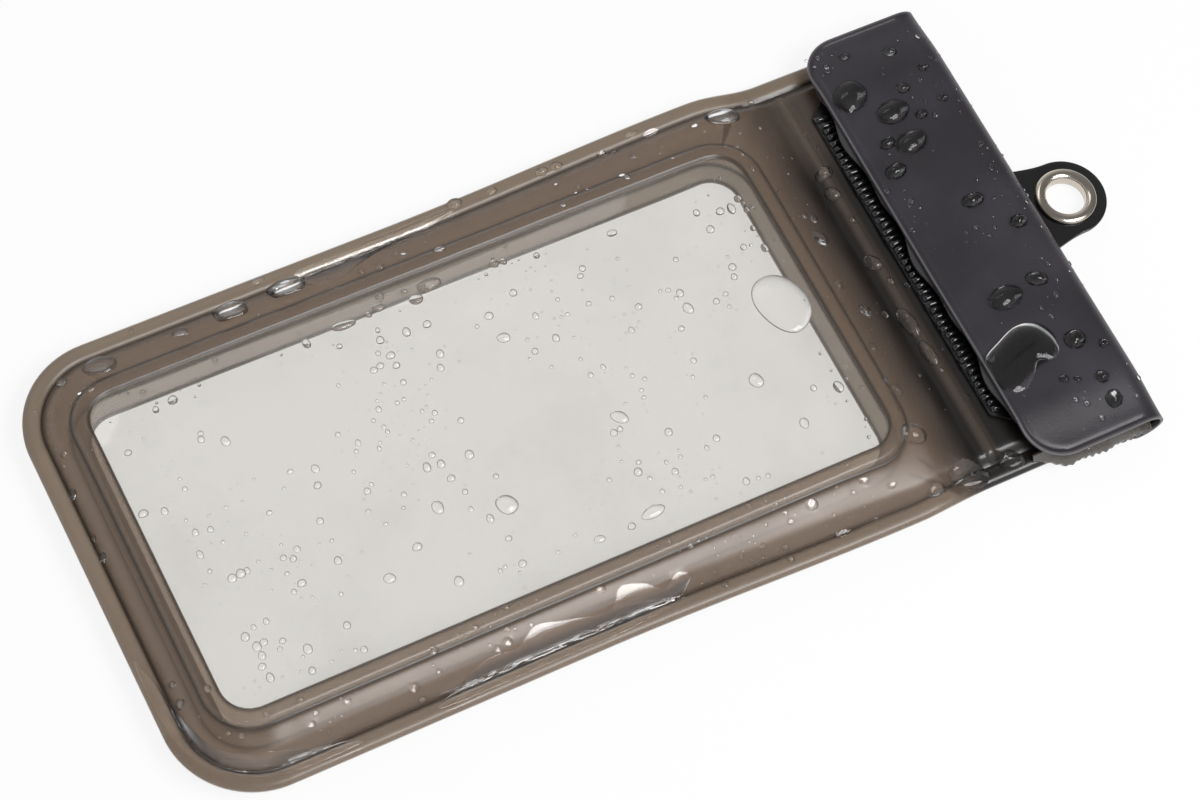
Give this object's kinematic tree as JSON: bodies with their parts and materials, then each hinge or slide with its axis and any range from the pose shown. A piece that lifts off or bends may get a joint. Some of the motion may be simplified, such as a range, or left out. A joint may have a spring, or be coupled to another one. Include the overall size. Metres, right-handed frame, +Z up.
{
  "type": "waterproof phone pouch",
  "caption": "Flat smoke-tinted pouch with clear windows, a press-zip mouth under a dark fold-over flap, and an eyeleted lanyard tab.",
  "frame": {"origin": "on the surface that the pouch lies on, under the middle of its bounding box", "axes": "+X across the pouch, +Y along it from its bottom weld towards the flap and tab, +Z up out of its front window"},
  "size_m": [0.098, 0.2113, 0.0112],
  "materials": {
    "smoke_film": "translucent smoke-brown PVC film, satin where dry and glossy where wet",
    "clear_film": "clear glossy PVC film",
    "zip_plastic": "milky extruded strip",
    "satin_vinyl": "charcoal satin vinyl",
    "gloss_vinyl": "black glossy vinyl",
    "tape_fabric": "black hook and loop tape",
    "nickel": "polished nickel plate",
    "water": "water drops"
  },
  "bodies": {
    "root": {"rear_sheet": "smoke_film", "rear_window": "clear_film", "front_sheet": "smoke_film", "front_window": "clear_film", "lower_zip_ribs": "zip_plastic", "lower_zip_grooves": "zip_plastic", "upper_zip_ribs": "zip_plastic", "upper_zip_grooves": "zip_plastic", "flap_outer": "satin_vinyl", "flap_lining": "gloss_vinyl", "closure_patch": "gloss_vinyl", "loop_tape": "tape_fabric", "hook_tape": "tape_fabric", "lanyard_tab": "gloss_vinyl", "eyelet": "nickel", "eyelet_washer": "nickel"}
  },
  "joints": []
}
